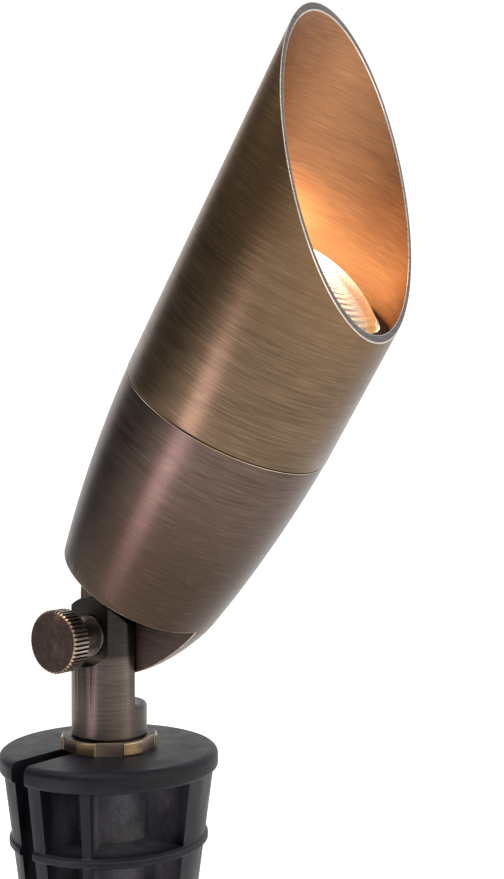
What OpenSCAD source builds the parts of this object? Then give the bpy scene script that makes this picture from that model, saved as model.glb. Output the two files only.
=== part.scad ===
// Garden spike spotlight: a tilting brass bullet head with a long slanted shroud,
// on a one-sided knuckle that screws into a moulded ground stake.
// The origin is the centre of the stake's top face. The head leans towards +X,
// and the thumb screw of the knuckle points to -Y.
// Heights called _s are measured from the tilt pivot along the head's own axis.

/* [Head] */
// Outer diameter of the shroud
head_d = 61; // [58:0.5:75]
// Step in radius from the shroud down to the housing at the seam
seam_step = 0.1; // [0.05:0.05:1]
// Tilt of the head from upright
head_tilt = 32.8; // [0:0.1:60]
// Offset of the head's axis in front of the tilt pivot
axis_offset = 2.2; // [0:0.1:4]
// Height of the seam between housing and shroud
seam_s = 78.7; // [74:0.1:82]
// Height of the flat rim round the knuckle
rim_s = 20.8; // [18:0.1:24]
// Length of the rounded tail below the rim
tail_l = 31; // [26:0.5:34]
// Wall of the housing
housing_wall = 3.2; // [2:0.1:5]
// Thickness of the housing floor above the rim
floor_t = 3.7; // [2:0.1:6]

/* [Shroud] */
// Wall of the shroud tube
shroud_wall = 1.5; // [1:0.1:2]
// Height at which the slanted cut crosses the head's axis
cut_s = 152.3; // [150:0.1:175]
// Angle of the cut from square
cut_angle = 47.3; // [20:0.1:50]
// Turn of the shroud on the housing
shroud_turn = 3.4; // [-20:0.1:20]
// Gap between the shroud and the shoulder that it rests on
seam_gap = 0.2; // [0.1:0.05:0.5]
// Radial play between the shroud and the spigot inside it
shroud_play = 0.5; // [0.3:0.05:0.8]

/* [Spigot and lens] */
// Length of the spigot that the shroud slides over
spigot_l = 37.3; // [34:0.1:40]
// Wall of the spigot round the bore that the lamp drops into
spigot_wall = 2.7; // [2.4:0.1:3.4]
// Thickness of the shroud seal's round section
seal_d = 1.9; // [1.4:0.1:2.2]
// Distance of the seal groove below the end of the spigot
seal_drop = 16; // [10:0.5:22]
// Wall of the gasket round the edge of the glass lens
gasket_wall = 2.2; // [2:0.1:3]
// Height of the dome of the lens
dome_h = 11; // [6:0.5:13]
// Thickness of the glass
glass_t = 2.6; // [2:0.1:4]
// Height of the gasket that holds the lens
gasket_h = 3.4; // [3.2:0.1:5]

/* [Lamp] */
// Radial play between the lamp's front ring and its bore
lamp_play = 0.8; // [0.3:0.1:1.2]
// Depth of the lamp face below the end of the spigot
lamp_drop = 2.5; // [1:0.1:4]
// Thickness of the front ring
lamp_ring_t = 2.4; // [2:0.1:3]
// Number of vent slots in the front ring
vent_count = 20; // [12:1:28]
// Length of the finned heat sink
sink_l = 27; // [22:0.5:30]
// Number of fins
fin_count = 14; // [8:1:18]
// Length of the pale base block
lamp_base_l = 14; // [10:0.5:16]
// Distance between the two pins
pin_pitch = 5.33; // [5:0.01:6.5]
// Diameter of a pin
pin_d = 1.5; // [1:0.05:1.6]
// Length of a pin below the base block
pin_l = 7; // [5:0.5:8]

/* [Socket] */
// Height of the ceramic socket block
socket_h = 11; // [9:0.5:12]
// Thickness of the steel bracket
bracket_t = 1.2; // [1:0.1:1.6]
// Diameter of a lead wire over its insulation
lead_d = 1.8; // [1.4:0.1:2.2]
// Diameter of the small screws
small_screw_d = 3; // [2.5:0.1:3]

/* [Knuckle] */
// Height of the tilt pivot above the stake's top face
pivot_h = 34; // [33.5:0.1:38]
// Diameter of the stem
stem_d = 22.3; // [21:0.1:23]
// Height of the full round base of the stem
stem_base_h = 8.9; // [6:0.1:9.5]
// Distance of the mating faces from the axis, towards the thumb screw
joint_offset = 0.9; // [0:0.1:2]
// Gap between the mating faces of the knuckle
joint_gap = 0.3; // [0.2:0.05:0.6]
// Distance from the axis to the flat under the washer, which is open at the top
spot_offset = 8.5; // [7.5:0.1:9.5]
// Width of that flat, and the diameter of its round foot
spot_d = 17.6; // [14:0.1:18]
// Diameter of the cable bore through the stem
cable_bore_d = 7.4; // [6:0.1:7.8]
// Diameter of the threaded spigot below the stem
thread_d = 20.95; // [19:0.05:20.95]
// Distance between two grooves of that thread
thread_step = 1.814; // [1.4:0.002:2]
// Length of the threaded spigot
thread_l = 20; // [14:0.5:22]

/* [Thumb screw] */
// Diameter of the knob over the knurl
knob_d = 18; // [14:0.1:19]
// Length of the knob
knob_l = 6; // [4:0.1:8]
// Number of ridges of the knurl
knurl_count = 44; // [24:1:48]
// Length of the neck between knob and washer
neck_l = 8.1; // [5:0.1:10]
// Diameter of the threaded shank
screw_d = 6; // [5:0.1:6.5]
// Length of the shank that lies in the housing's ear
screw_grip = 9; // [7:0.1:9.5]
// Thickness of the washer
washer_t = 1; // [0.8:0.1:1.6]

/* [Lock nut] */
// Diameter over the lugs
nut_d = 28.4; // [27:0.1:31]
// Height of the nut
nut_h = 4; // [3:0.1:4.5]
// Depth of the flats between the lugs
nut_flat_depth = 1.1; // [0.6:0.1:1.4]
// Width of a lug
lug_w = 6.2; // [4:0.1:8]

/* [Ground stake] */
// Length of the stake from its top face to its point
stake_l = 236; // [180:1:300]
// Diameter over the rounded lip
stake_d = 64.6; // [58:0.1:72]
// Height of the lip
lip_h = 6; // [5:0.1:8]
// Height of the pocketed head, lip included
stake_head_h = 46; // [42:0.5:60]
// Depth of the middle web below the top face
web_drop = 24.6; // [20:0.1:30]
// Thickness of the webs
web_t = 3; // [2:0.1:4]
// Diameter of the core round the threaded hole
core_d = 28; // [26:0.1:32]
// Width of the cable slot
slot_w = 6.4; // [5:0.1:7]
// Distance of the slot's middle from the axis
slot_offset = 5.8; // [4:0.1:7]
// Half width of the fins where they leave the head
fin_reach = 20; // [16:0.5:22]
// Thickness of a fin
fin_t = 4; // [3:0.1:6]

/* [Hidden] */
$fn = 96;

// Overrun of every cut, and play between turning parts and between fitted parts
overrun = 1;
running_play = 0.05;
free_play = 0.3;

// Head radii and heights
head_r = head_d / 2;
shroud_in_r = head_r - shroud_wall;
spigot_r = shroud_in_r - shroud_play;
spigot_s = seam_s + spigot_l;
bore_r = spigot_r - spigot_wall;
housing_r = head_r - seam_step;
floor_s = rim_s + floor_t;

// Side of the housing: a slight cone that turns into a wide arc towards the rim
side_slope_share = 0.0286;
side_arc_r = 386;
function side_r(s) =
    housing_r - side_slope_share * (seam_s - s) - (seam_s - s) * (seam_s - s) / (2 * side_arc_r);
rim_r = side_r(rim_s);
side_steps = 24;
side_points = [for (i = [0:side_steps])
    let (s = rim_s + (seam_s - rim_s) * i / side_steps)
    [side_r(s), s]];

// Tail of the housing: a blunt bullet nose that hangs below the rim
tail_fullness = 1.24;
tail_steps = 14;
right_angle = 90;
tail_points = [for (i = [0:tail_steps])
    let (u = right_angle * (1 - i / tail_steps))
    [rim_r * cos(u), rim_s - tail_l * pow(sin(u), 2 / tail_fullness)]];

// Cavity: the lamp bore, drawn in where the wall of the housing would grow thin
cavity_points = [for (i = [0:side_steps])
    let (s = floor_s + (seam_s - floor_s) * i / side_steps)
    [min(bore_r, side_r(s) - housing_wall), s]];

// Shroud seal and its groove
seal_s = spigot_s - seal_drop;
seal_r = seal_d / 2;
seal_ring_r = shroud_in_r - running_play - seal_r;
groove_r = seal_ring_r - seal_r - running_play;
groove_w = seal_d + 2 * running_play;

// Lens and gasket
gasket_r = shroud_in_r - free_play;
lens_r = gasket_r - gasket_wall;
gasket_lip = 1;
lens_s = spigot_s + gasket_lip;
lens_edge_t = gasket_h - 2 * gasket_lip;
dome_r = (lens_r * lens_r + dome_h * dome_h) / (2 * dome_h);
dome_centre_s = lens_s + lens_edge_t + dome_h - dome_r;
gasket_mouth_r = lens_r - gasket_lip;
lip_lean_share = 0.7;
gasket_lip_r = lens_r - lip_lean_share * gasket_lip * (dome_r - dome_h) / lens_r;

// Lamp: heights run down from its front face
lamp_r = bore_r - lamp_play;
lamp_s = spigot_s - lamp_drop;
sink_s = lamp_s - lamp_ring_t;
lamp_base_s = sink_s - sink_l;
lamp_foot_s = lamp_base_s - lamp_base_l;
window_share = 0.572;
window_r = lamp_r * window_share;
vent_edge = 4.2;
vent_l = 3.4;
vent_out_r = lamp_r - vent_edge;
vent_in_r = vent_out_r - vent_l;
vent_step = 1;
vent_w_share = 0.66;
vent_w = vent_w_share * 2 * PI * vent_in_r / vent_count;
ring_front_t = 1;
window_lip = 1;
optic_r = window_r + window_lip;
ring_hub_r = optic_r + free_play;
sink_rim_share = 0.944;
sink_cup_share = 0.72;
sink_back_share = 0.5;
sink_rim_r = lamp_r * sink_rim_share;
sink_cup_r = lamp_r * sink_cup_share;
sink_back_r = lamp_r * sink_back_share;
sink_floor_t = 3;
fin_w = 1.6;
optic_t = 1.4;
optic_cup_h = 6;
optic_edge = 1.5;
optic_cup_share = 0.392;
optic_back_share = 0.21;
optic_cup_r = window_r * optic_cup_share;
optic_cup_back_r = window_r * optic_back_share;
optic_ring_r = window_r - optic_edge - optic_cup_r;
peg_r = 1.3;
peg_ring_r = window_r - optic_edge - peg_r;
board_t = 1.2;
led_h = 0.9;
led_gap = 0.2;
led_w = 3.4;
board_s = lamp_s - ring_front_t - optic_t - optic_cup_h - led_gap - led_h - board_t;
emitter_count = 3;
full_turn = 360;
base_w_share = 0.76;
base_depth_share = 0.48;
base_neck_share = 0.42;
base_w = lamp_r * base_w_share;
base_depth = lamp_r * base_depth_share;
base_neck_r = lamp_r * base_neck_share;
base_shoulder_h = 4;

// Socket: its top face meets the foot of the lamp
socket_rim = 1.5;
socket_cheek = 0.5;
socket_w = base_w + 2 * socket_rim;
socket_depth = base_depth + 2 * socket_cheek;
socket_s = lamp_foot_s - socket_h;
socket_top_gap = 0.3;
contact_r = 1.9;
contact_l = 8;
contact_floor = 1.6;
bracket_top_s = socket_s;
bracket_w = socket_depth - 2 * socket_rim;
bracket_half = socket_w / 2 + free_play + bracket_t;
screw_head_share = 0.9;
screw_head_h_share = 0.6;
screw_head_r = small_screw_d * screw_head_share;
socket_screw_reach = socket_w / 2 - screw_head_r - free_play;
socket_screw_l = 6;
bracket_foot_l = 2 * screw_head_r + free_play;
bracket_screw_depth = 2.8;
bracket_window_w = 9;
bracket_window_d = 4;
lead_drop = 9;
crimp_d = 3.6;
crimp_l = 11;

// Way of the supply cable through the ear, and the grommet at its top
lead_bore_d = 6;
grommet_flange_d = 8;
lead_bore_x = bracket_half - bracket_t - grommet_flange_d / 2 - 2 * running_play;
lead_bore_y = 7;
grommet_flange_h = 1.4;
grommet_l = 8;
grommet_bore_d = 2.6;

// Knuckle
stem_r = stem_d / 2;
stem_s = nut_h + free_play;
tongue_y = -joint_offset - joint_gap / 2;
ear_y = -joint_offset + joint_gap / 2;
cable_bore_y = 4.6;
thread_r = thread_d / 2;
thread_depth = 0.9;
// Corners of one groove of the thread: share of the step, and share of the depth
thread_shares = [[0, 0], [0.4, 1], [0.8, 0]];
thread_relief = 1.6;
screw_r = screw_d / 2;
tap_depth = 2;

// Knob
knob_r = knob_d / 2;
knurl_depth = 0.55;
// Corners of one ridge of the knurl: share of a step, and share of the depth
knurl_shares = [[0, 0], [0.45, 0], [0.725, 1], [0.8875, 1]];
knob_chamfer = 0.5;
neck_knob_r = 5.4;
neck_end_r = 4.2;
washer_r = 6;
washer_y = -spot_offset - washer_t;
knob_back_y = washer_y - neck_l;

// Lock nut
nut_r = nut_d / 2;
lug_count = 6;
lug_turn = -17.5;
nut_chamfer = 0.4;

// Ground stake
stake_r = stake_d / 2;
lip_round = 2.2;
lip_tuck = 1.4;
stake_taper_share = 0.13;
web_bead = 0.8;
core_r = core_d / 2;
core_bore_l = 27;
point_half = 1.6;
point_h = 6;
spine_r = 5;
fin_turn = 15;
// Pockets of the stake head, as the turns at which they begin and end
pocket_turns = [[-57.5, 0], [-86, -62.5], [122.5, 180], [94, 117.5]];
function stake_side_r(z) = stake_r - lip_tuck + stake_taper_share * (z + lip_h);

// Puts what is modelled along the head's own axis at its tilt on the pivot
module head_place() {
    translate([0, 0, pivot_h])
        rotate([0, head_tilt, 0])
            translate([axis_offset, 0, 0])
                children();
}

// A cylinder along Y from one place to another
module cross_pin(r, y_from, y_to) {
    translate([0, y_from, 0])
        rotate([-right_angle, 0, 0])
            cylinder(r = r, h = y_to - y_from);
}

// A wedge that cuts a pocket between two turns
module pocket_wedge(from_turn, to_turn, z_low, z_high) {
    reach = 2 * stake_r;
    middle = (from_turn + to_turn) / 2;
    translate([0, 0, z_low])
        linear_extrude(height = z_high - z_low)
            polygon([
                [0, 0],
                [reach * cos(from_turn), reach * sin(from_turn)],
                [reach * cos(middle), reach * sin(middle)],
                [reach * cos(to_turn), reach * sin(to_turn)]
            ]);
}

// One flat fin of the spike, which narrows to the point
module spike_fin() {
    rotate([right_angle, 0, 0])
        translate([0, 0, -fin_t / 2])
            linear_extrude(height = fin_t)
                polygon([
                    [-fin_reach, -stake_head_h + web_t / 2],
                    [fin_reach, -stake_head_h + web_t / 2],
                    [point_half, -stake_l + point_h],
                    [0, -stake_l],
                    [-point_half, -stake_l + point_h]
                ]);
}

// Outline of the stake head: a rounded lip, a tucked neck and a slightly tapered side with a bead
module stake_head_outline() {
    round_steps = 6;
    polygon(concat(
        [[0, 0]],
        [for (i = [0:round_steps])
            let (u = right_angle * i / round_steps)
            [stake_r - lip_round + lip_round * sin(u), -lip_round + lip_round * cos(u)]],
        [for (i = [0:round_steps])
            let (u = right_angle * i / round_steps)
            [stake_r - lip_tuck + lip_tuck * cos(u), -(lip_h - lip_tuck) - lip_tuck * sin(u)]],
        [
            [stake_side_r(-web_drop), -web_drop],
            [stake_side_r(-web_drop) + web_bead, -web_drop - web_t / 4],
            [stake_side_r(-web_drop) + web_bead, -web_drop - web_t * 3 / 4],
            [stake_side_r(-web_drop - web_t), -web_drop - web_t],
            [stake_side_r(-stake_head_h), -stake_head_h],
            [0, -stake_head_h]
        ]
    ));
}

module ground_stake() {
    color("#26262a") {
        difference() {
            rotate_extrude() stake_head_outline();
            difference() {
                union() {
                    for (turns = pocket_turns) {
                        pocket_wedge(turns[0], turns[1], -web_drop, -lip_h);
                        pocket_wedge(turns[0], turns[1], -stake_head_h + web_t, -web_drop - web_t);
                    }
                }
                translate([0, 0, -stake_head_h])
                    cylinder(r = core_r, h = stake_head_h);
            }
            translate([0, 0, -core_bore_l])
                cylinder(r = thread_r + running_play, h = core_bore_l + overrun);
            translate([-slot_offset - slot_w / 2, -stake_d, -stake_head_h - overrun])
                cube([slot_w, stake_d - core_r, stake_head_h + 2 * overrun]);
            translate([-slot_offset - slot_w / 2, -core_r - overrun, -core_bore_l])
                cube([slot_w, core_r + overrun - slot_offset, core_bore_l + overrun]);
        }
        rotate([0, 0, fin_turn]) {
            spike_fin();
            rotate([0, 0, right_angle]) spike_fin();
            translate([0, 0, -stake_l + point_h])
                cylinder(r1 = point_half, r2 = spine_r, h = stake_l - point_h - stake_head_h + web_t / 2);
        }
    }
}

// Brass nut with six lugs and flats between them
module lock_nut() {
    half_step = full_turn / lug_count / 2;
    color("#7d6238")
        difference() {
            intersection() {
                rotate([0, 0, lug_turn])
                    linear_extrude(height = nut_h)
                        union() {
                            circle(r = (nut_r - nut_flat_depth) / cos(half_step), $fn = lug_count);
                            for (i = [0:lug_count / 2 - 1])
                                rotate([0, 0, full_turn * i / lug_count])
                                    square([2 * (nut_r + lug_w), lug_w], center = true);
                        }
                rotate_extrude()
                    polygon([
                        [0, 0],
                        [nut_r - nut_chamfer, 0],
                        [nut_r, nut_chamfer],
                        [nut_r, nut_h - nut_chamfer],
                        [nut_r - nut_chamfer, nut_h],
                        [0, nut_h]
                    ]);
            }
            translate([0, 0, -overrun])
                cylinder(r = thread_r + running_play, h = nut_h + 2 * overrun);
        }
}

// Threaded spigot, drawn as one groove for each turn of the thread
module thread_spigot() {
    groove_count = floor((thread_l - thread_relief) / thread_step);
    rotate_extrude()
        polygon(concat(
            [[0, stem_s], [thread_r, stem_s]],
            [for (i = [0:groove_count - 1], corner = thread_shares)
                [thread_r - thread_depth * corner[1],
                    stem_s - thread_relief - thread_step * (i + corner[0])]],
            [[thread_r - thread_depth, stem_s - thread_l], [0, stem_s - thread_l]]
        ));
}

module knuckle_stem() {
    color("#5a4a3e")
        difference() {
            union() {
                intersection() {
                    translate([0, 0, stem_s])
                        cylinder(r = stem_r, h = pivot_h + stem_r - stem_s);
                    union() {
                        translate([-stem_r - overrun, -stem_r - overrun, stem_s])
                            cube([2 * (stem_r + overrun), 2 * (stem_r + overrun), stem_base_h]);
                        translate([-stem_r - overrun, -stem_r - overrun, stem_s])
                            cube([2 * (stem_r + overrun), stem_r + overrun + tongue_y, pivot_h - stem_s]);
                        translate([0, 0, pivot_h])
                            cross_pin(stem_r, -stem_r - overrun, tongue_y);
                    }
                }
                thread_spigot();
            }
            translate([0, 0, pivot_h]) {
                cross_pin(screw_r + free_play, -stem_d, stem_d);
                cross_pin(spot_d / 2, -stem_d, -spot_offset);
                translate([-spot_d / 2, -stem_d, 0])
                    cube([spot_d, stem_d - spot_offset, stem_r + overrun]);
            }
            translate([0, cable_bore_y, stem_s - thread_l - overrun])
                cylinder(d = cable_bore_d, h = thread_l + stem_base_h + 2 * overrun);
        }
}

// Outline of the knob: a ridge and a groove for every step of the knurl
module knurl_outline() {
    step = full_turn / knurl_count;
    polygon([for (i = [0:knurl_count - 1], corner = knurl_shares)
        let (
            r = knob_r - knurl_depth * corner[1],
            a = step * (i + corner[0])
        )
        [r * cos(a), r * sin(a)]]);
}

module thumb_screw() {
    color("#4b3a31")
        translate([0, 0, pivot_h]) {
            translate([0, knob_back_y, 0])
                rotate([right_angle, 0, 0])
                    intersection() {
                        linear_extrude(height = knob_l) knurl_outline();
                        rotate_extrude()
                            polygon([
                                [0, 0],
                                [knob_r - knob_chamfer, 0],
                                [knob_r + overrun, knob_chamfer + overrun],
                                [knob_r + overrun, knob_l - knob_chamfer - overrun],
                                [knob_r - knob_chamfer, knob_l],
                                [0, knob_l]
                            ]);
                    }
            translate([0, knob_back_y, 0])
                rotate([-right_angle, 0, 0])
                    cylinder(r1 = neck_knob_r, r2 = neck_end_r, h = neck_l);
            cross_pin(screw_r, washer_y, ear_y + screw_grip);
        }
}

module screw_washer() {
    color("#6a5a48")
        translate([0, 0, pivot_h])
            difference() {
                cross_pin(washer_r, washer_y, -spot_offset);
                cross_pin(screw_r + free_play, washer_y - overrun, -spot_offset + overrun);
            }
}

module housing() {
    color("#5b463a")
        head_place()
            difference() {
                union() {
                    rotate_extrude()
                        polygon(concat(side_points, [[0, seam_s], [0, rim_s]]));
                    translate([0, 0, seam_s - housing_wall])
                        cylinder(r = spigot_r, h = spigot_l + housing_wall);
                    difference() {
                        rotate_extrude()
                            polygon(concat(tail_points, [[0, rim_s]]));
                        translate([-head_d, ear_y - 2 * head_d, rim_s - 2 * tail_l])
                            cube([2 * head_d, 2 * head_d, 2 * tail_l]);
                    }
                }
                rotate_extrude()
                    polygon(concat(
                        [[0, floor_s]],
                        cavity_points,
                        [[bore_r, spigot_s + overrun], [0, spigot_s + overrun]]
                    ));
                translate([0, 0, seal_s])
                    difference() {
                        translate([0, 0, -groove_w / 2])
                            cylinder(r = spigot_r + overrun, h = groove_w);
                        translate([0, 0, -groove_w])
                            cylinder(r = groove_r, h = 2 * groove_w);
                    }
                translate([-axis_offset, 0, 0])
                    cross_pin(screw_r + running_play, -head_d, ear_y + screw_grip + tap_depth);
                translate([lead_bore_x, lead_bore_y, rim_s - tail_l])
                    cylinder(d = lead_bore_d, h = floor_s - rim_s + tail_l + overrun);
                for (side = [-1, 1])
                    translate([side * (bracket_half + bracket_foot_l / 2), 0, floor_s - bracket_screw_depth])
                        cylinder(d = small_screw_d + 2 * running_play, h = bracket_screw_depth + overrun);
            }
}

// Turned brass tube, cut at a slant so that its long side shades the lens
module shroud() {
    color("#7a6440")
        head_place()
            rotate([0, 0, shroud_turn])
                difference() {
                    translate([0, 0, seam_s + seam_gap])
                        cylinder(r = head_r, h = cut_s + head_d - seam_s - seam_gap);
                    translate([0, 0, seam_s])
                        cylinder(r = shroud_in_r, h = cut_s + 2 * head_d - seam_s);
                    translate([0, 0, cut_s])
                        rotate([0, cut_angle, 0])
                            translate([-3 * head_d, -head_d, 0])
                                cube([6 * head_d, 2 * head_d, 3 * head_d]);
                }
}

module shroud_seal() {
    color("#1b1b1d")
        head_place()
            translate([0, 0, seal_s])
                rotate_extrude()
                    translate([seal_ring_r, 0])
                        circle(r = seal_r, $fn = 32);
}

module glass_lens() {
    color("#dfe8ea")
        head_place()
            difference() {
                intersection() {
                    translate([0, 0, dome_centre_s]) sphere(r = dome_r);
                    translate([0, 0, lens_s])
                        cylinder(r = lens_r, h = lens_edge_t + dome_h + overrun);
                }
                intersection() {
                    translate([0, 0, dome_centre_s]) sphere(r = dome_r - glass_t);
                    translate([0, 0, lens_s - overrun])
                        cylinder(r = lens_r - glass_t, h = lens_edge_t + dome_h + overrun);
                }
            }
}

// Rubber ring with a groove for the edge of the lens and a skirt in the bore
module lens_gasket() {
    color("#17171a")
        head_place()
            rotate_extrude()
                polygon([
                    [gasket_mouth_r, spigot_s],
                    [gasket_r, spigot_s],
                    [gasket_r, spigot_s + gasket_h - gasket_lip / 2],
                    [gasket_r - gasket_lip / 2, spigot_s + gasket_h],
                    [gasket_lip_r, spigot_s + gasket_h],
                    [lens_r + running_play, lens_s + lens_edge_t],
                    [lens_r + running_play, lens_s],
                    [gasket_mouth_r, lens_s]
                ]);
}

// Front ring of the lamp: a flat bezel with vent slots round the window
module lamp_front_ring() {
    color("#4a4c52")
        head_place()
            translate([0, 0, sink_s])
                difference() {
                    cylinder(r = lamp_r, h = lamp_ring_t);
                    translate([0, 0, -overrun])
                        cylinder(r = window_r, h = lamp_ring_t + 2 * overrun);
                    translate([0, 0, -overrun])
                        cylinder(r = ring_hub_r, h = lamp_ring_t - ring_front_t + overrun);
                    translate([0, 0, lamp_ring_t - ring_front_t / 2])
                        difference() {
                            cylinder(r = vent_out_r - vent_step, h = lamp_ring_t);
                            translate([0, 0, -overrun])
                                cylinder(r = vent_in_r, h = lamp_ring_t + 2 * overrun);
                        }
                    for (i = [0:vent_count - 1])
                        rotate([0, 0, full_turn * i / vent_count])
                            translate([vent_in_r, -vent_w / 2, -overrun])
                                cube([vent_out_r - vent_in_r, vent_w, lamp_ring_t + 2 * overrun]);
                }
}

// Die-cast cup with fins that stand out from it
module lamp_heatsink() {
    color("#1f2022")
        head_place()
            difference() {
                union() {
                    translate([0, 0, lamp_base_s])
                        cylinder(r1 = sink_back_r, r2 = sink_cup_r, h = sink_l);
                    translate([0, 0, sink_s - ring_front_t])
                        cylinder(r = sink_rim_r, h = ring_front_t);
                    for (i = [0:fin_count - 1])
                        rotate([0, 0, full_turn * i / fin_count])
                            rotate([right_angle, 0, 0])
                                translate([0, 0, -fin_w / 2])
                                    linear_extrude(height = fin_w)
                                        polygon([
                                            [0, lamp_base_s],
                                            [sink_back_r + fin_w, lamp_base_s],
                                            [sink_back_r + 2 * fin_w, lamp_base_s + fin_w],
                                            [sink_rim_r, sink_s - sink_l / 3],
                                            [sink_rim_r, sink_s - ring_front_t / 2],
                                            [0, sink_s - ring_front_t / 2]
                                        ]);
                }
                translate([0, 0, lamp_base_s + sink_floor_t])
                    cylinder(
                        r1 = sink_back_r - sink_floor_t,
                        r2 = sink_cup_r - sink_floor_t / 2,
                        h = sink_l - sink_floor_t
                    );
                translate([0, 0, board_s])
                    cylinder(r = ring_hub_r, h = sink_l);
            }
}

// Clear moulded window with three lens cups and three pegs behind it
module lamp_optic() {
    optic_s = lamp_s - ring_front_t - optic_t;
    color("#dfe3f2")
        head_place() {
            translate([0, 0, optic_s])
                cylinder(r = optic_r, h = optic_t);
            for (i = [0:emitter_count - 1])
                rotate([0, 0, full_turn * i / emitter_count]) {
                    translate([optic_ring_r, 0, optic_s - optic_cup_h])
                        cylinder(r1 = optic_cup_back_r, r2 = optic_cup_r, h = optic_cup_h + optic_t / 2);
                    rotate([0, 0, full_turn / emitter_count / 2])
                        translate([peg_ring_r, 0, board_s + board_t])
                            cylinder(r = peg_r, h = optic_s - board_s - board_t + optic_t / 2);
                }
        }
}

module lamp_board() {
    color("#e9ead8")
        head_place()
            translate([0, 0, board_s])
                cylinder(r = optic_r, h = board_t);
}

module lamp_leds() {
    color("#e8d26a")
        head_place()
            for (i = [0:emitter_count - 1])
                rotate([0, 0, full_turn * i / emitter_count])
                    translate([optic_ring_r - led_w / 2, -led_w / 2, board_s + board_t])
                        cube([led_w, led_w, led_h]);
}

// Pale block that closes the back of the lamp and carries its pins
module lamp_base() {
    color("#e6e2d2")
        head_place()
            difference() {
                union() {
                    translate([0, 0, lamp_base_s - base_shoulder_h])
                        cylinder(r = base_neck_r, h = base_shoulder_h);
                    translate([-base_w / 2, -base_depth / 2, lamp_foot_s])
                        cube([base_w, base_depth, lamp_base_l - base_shoulder_h]);
                }
                for (side = [-1, 1])
                    translate([side * pin_pitch / 2, 0, lamp_foot_s - overrun])
                        cylinder(d = pin_d, h = lamp_base_l / 2 + overrun);
            }
}

module lamp_pins() {
    color("#b9bcc0")
        head_place()
            for (side = [-1, 1])
                translate([side * pin_pitch / 2, 0, lamp_foot_s - pin_l])
                    cylinder(d = pin_d, h = pin_l + lamp_base_l / 2);
}

module lamp_socket() {
    color("#efece2")
        head_place()
            difference() {
                translate([-socket_w / 2, -socket_depth / 2, socket_s])
                    cube([socket_w, socket_depth, socket_h - socket_top_gap]);
                for (side = [-1, 1]) {
                    translate([side * pin_pitch / 2, 0, socket_s + contact_floor])
                        cylinder(r = contact_r, h = socket_h);
                    translate([side * pin_pitch / 2, 0, socket_s - overrun])
                        cylinder(d = lead_d, h = contact_floor + 2 * overrun);
                    translate([side * socket_screw_reach, 0, socket_s - overrun])
                        cylinder(d = small_screw_d, h = socket_screw_l + overrun);
                }
            }
}

module socket_contacts() {
    color("#c9a558")
        head_place()
            for (side = [-1, 1])
                translate([side * pin_pitch / 2, 0, socket_s + contact_floor])
                    difference() {
                        cylinder(r = contact_r, h = contact_l);
                        translate([0, 0, contact_floor])
                            cylinder(d = pin_d, h = contact_l);
                    }
}

// Bent steel strip that carries the socket above the floor of the housing
module socket_bracket() {
    color("#a9adb1")
        head_place()
            difference() {
                rotate([right_angle, 0, 0])
                    translate([0, 0, -bracket_w / 2])
                        linear_extrude(height = bracket_w)
                            polygon([
                                [-bracket_half - bracket_foot_l, floor_s],
                                [-bracket_half + bracket_t, floor_s],
                                [-bracket_half + bracket_t, bracket_top_s - bracket_t],
                                [bracket_half - bracket_t, bracket_top_s - bracket_t],
                                [bracket_half - bracket_t, floor_s],
                                [bracket_half + bracket_foot_l, floor_s],
                                [bracket_half + bracket_foot_l, floor_s + bracket_t],
                                [bracket_half, floor_s + bracket_t],
                                [bracket_half, bracket_top_s],
                                [-bracket_half, bracket_top_s],
                                [-bracket_half, floor_s + bracket_t],
                                [-bracket_half - bracket_foot_l, floor_s + bracket_t]
                            ]);
                for (side = [-1, 1]) {
                    translate([side * (bracket_half + bracket_foot_l / 2), 0, floor_s - overrun])
                        cylinder(d = small_screw_d, h = bracket_t + 2 * overrun);
                    translate([side * socket_screw_reach, 0, bracket_top_s - bracket_t - overrun])
                        cylinder(d = small_screw_d, h = bracket_t + 2 * overrun);
                }
                translate([-bracket_window_w / 2, -bracket_window_d / 2, bracket_top_s - bracket_t - overrun])
                    cube([bracket_window_w, bracket_window_d, bracket_t + 2 * overrun]);
            }
}

// A small pan-head screw that points up or down from the plane it clamps
module small_screw(length) {
    head_h = small_screw_d * screw_head_h_share;
    difference() {
        union() {
            translate([0, 0, -length]) cylinder(d = small_screw_d, h = length);
            cylinder(r = screw_head_r, h = head_h);
        }
        translate([-small_screw_d, -small_screw_d / 8, head_h / 2])
            cube([2 * small_screw_d, small_screw_d / 4, head_h]);
    }
}

module socket_screws() {
    color("#b4b8bc")
        head_place()
            for (side = [-1, 1])
                translate([side * socket_screw_reach, 0, bracket_top_s - bracket_t])
                    rotate([2 * right_angle, 0, 0])
                        small_screw(socket_screw_l + bracket_t);
}

module bracket_screws() {
    color("#b4b8bc")
        head_place()
            for (side = [-1, 1])
                translate([side * (bracket_half + bracket_foot_l / 2), 0, floor_s + bracket_t])
                    small_screw(bracket_t + bracket_screw_depth);
}

module socket_leads() {
    color("#d8d4c8")
        head_place()
            for (side = [-1, 1])
                translate([side * pin_pitch / 2, 0, socket_s - lead_drop])
                    cylinder(d = lead_d, h = lead_drop + contact_floor);
}

module crimp_connectors() {
    color("#9b3b34")
        head_place()
            for (side = [-1, 1])
                translate([side * pin_pitch / 2, 0, socket_s - lead_drop - crimp_l])
                    cylinder(d = crimp_d, h = crimp_l);
}

module cable_grommet() {
    color("#1d1d1f")
        head_place()
            translate([lead_bore_x, lead_bore_y, floor_s])
                difference() {
                    union() {
                        cylinder(d = grommet_flange_d, h = grommet_flange_h);
                        translate([0, 0, -grommet_l])
                            cylinder(d = lead_bore_d - 2 * running_play, h = grommet_l);
                    }
                    translate([0, 0, -grommet_l - overrun])
                        cylinder(d = grommet_bore_d, h = grommet_l + grommet_flange_h + 2 * overrun);
                }
}

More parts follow.
